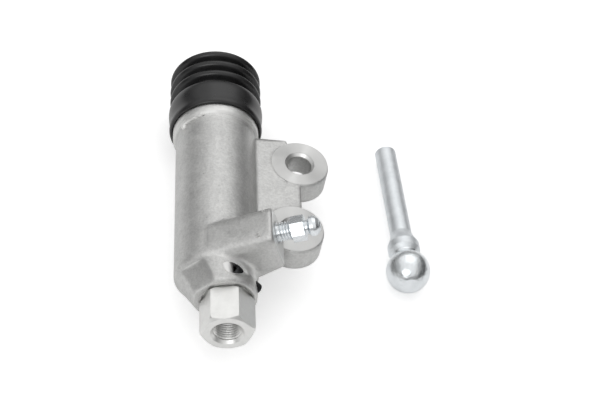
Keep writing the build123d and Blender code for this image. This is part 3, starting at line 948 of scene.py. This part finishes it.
# %% [markdown]
# ## The step beside the roll pin
# The pin's hole runs out through the slanted skin of the nose, and half of its mouth is filled by a light
# step of metal. It is a plug of the hole's own size, cut twice: level with the skin, and in half along
# the pin. Bisect Plane makes both cuts and keeps the faces flat.

# %% Step beside the roll pin
step_radius = 1.97 * MM
step_length = 4.0 * MM
step_centre = pin_centre - pin_axis * 10.25 * MM
skin_point = bore_centre + Vector((3.71, -43.65, 13.09)) * MM
skin_normal = Vector((0.148, -0.313, 0.938)).normalized()
half_normal = Vector((-pin_axis.z, 0.0, pin_axis.x))

step_bm = bmesh.new()
step_place = Matrix.Translation(step_centre) @ pin_axis.to_track_quat("Z", "Y").to_matrix().to_4x4()
bmesh.ops.create_cone(
    step_bm, cap_ends=True, segments=48, radius1=step_radius, radius2=step_radius, depth=step_length,
    matrix=step_place,
)
cuts = [
    (skin_point - skin_normal * 0.25 * MM, skin_normal),
    (pin_centre - half_normal * 0.3 * MM, half_normal),
]
for point, normal in cuts:
    everything = [*step_bm.verts, *step_bm.edges, *step_bm.faces]
    bmesh.ops.bisect_plane(step_bm, geom=everything, plane_co=point, plane_no=normal, clear_outer=True)
    bmesh.ops.holes_fill(step_bm, edges=boundary(step_bm), sides=0)
finish_piece("pin_step", step_bm, "cylinder", "cast_aluminium")

# %% [markdown]
# ## Threads
# CAD keeps a thread as a plain cylinder. A real one is a ridge that climbs as it turns, which is what a
# spin with a step along the axis makes: the ridge's outline is drawn once and carried round.

# %% Thread helper
def wind(bm, geometry, pitch, turns, steps):
    """Outline carried round the Y axis while it climbs by the pitch each turn, with its ends closed."""
    bmesh.ops.spin(
        bm, geom=geometry, cent=(0, 0, 0), axis=ALONG_BORE, dvec=(0.0, pitch * MM / steps, 0.0),
        angle=turns * 2 * math.pi, steps=int(turns * steps),
    )
    bmesh.ops.holes_fill(bm, edges=boundary(bm), sides=12)


thread_steps = 48
thread_pitch = 1.0
print("threads of", thread_pitch, "mm pitch in", thread_steps, "steps a turn")

# %% [markdown]
# ### The union's thread
# The nut of the fluid line screws into the union, so this thread is inside the bore: its ridge points
# inwards. It starts on top, where the hexagon hides the blunt end of the ridge.

# %% Union thread
union_mouth = Vector((-25.7, -62.45, 4.6)) * MM
union_thread_r = 5.03
union_crest_r = 4.5
union_ridge = [(union_thread_r, 0.0), (union_crest_r, 0.42), (union_crest_r, 0.54), (union_thread_r, 0.96)]

union_bm = bmesh.new()
wind(union_bm, closed_outline(union_bm, union_ridge), thread_pitch, 11.5, thread_steps)
union_start = Matrix.Translation(union_mouth + Vector((0.0, 0.9, 0.0)) * MM)
start_on_top = Matrix.Rotation(math.radians(-90), 4, "Y")
bmesh.ops.transform(union_bm, verts=union_bm.verts, matrix=union_start @ start_on_top)
finish_piece("union_thread", union_bm, "cylinder", "satin_steel")

# %% [markdown]
# ### The bleed screw's thread
# Only the last turns of this thread stand out of the boss. The ridge points outwards and is tilted to the
# boss's own axis, and it rides on the screw's body, so it turns with the screw.

# %% Bleed screw thread
bleed_root_r = 2.93
bleed_crest_r = 3.45
bleed_ridge = [(bleed_root_r, 0.14), (bleed_crest_r, 0.44), (bleed_crest_r, 0.52), (bleed_root_r, 0.82)]

bleed_bm = bmesh.new()
wind(bleed_bm, closed_outline(bleed_bm, bleed_ridge), thread_pitch, 4.1, thread_steps)
turn_to_boss = Vector(ALONG_BORE).rotation_difference(boss_axis).to_matrix().to_4x4()
bleed_place = Matrix.Translation(boss_mouth + boss_axis * 0.33 * MM) @ turn_to_boss
bmesh.ops.transform(bleed_bm, verts=bleed_bm.verts, matrix=bleed_place)
finish_piece("bleed_thread", bleed_bm, "bleeder", "zinc_steel")

# %% [markdown]
# ## The return spring
# The spring lies in the bore behind the piston. It is a coil of round wire, wound like the threads but
# with a circle as its outline. It has to shorten when the piston goes in.

# %% Return spring
wire_r = 0.65
coil_r = 6.65
coil_from = -33.58
coil_to = 1.84
coil_turns = 7.0
coil_steps = 36

spring_bm = bmesh.new()
bmesh.ops.create_circle(spring_bm, segments=12, radius=wire_r * MM)
bmesh.ops.translate(spring_bm, verts=spring_bm.verts, vec=(coil_r * MM, 0, 0))
wire_section = [*spring_bm.verts, *spring_bm.edges]
wind(spring_bm, wire_section, (coil_to - coil_from) / coil_turns, coil_turns, coil_steps)
bmesh.ops.translate(spring_bm, verts=spring_bm.verts, vec=bore_centre + Vector((0, coil_from * MM, 0)))
spring = finish_piece("spring_coil", spring_bm, "cylinder", "spring_steel")
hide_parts("return_spring")
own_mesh(spring)

# %% [markdown]
# ## Finishing the scene
# The dressed model has to stay in the CAD box. The picture uses the Standard view transform.

# %% Finish
scene.view_settings.view_transform = "Standard"
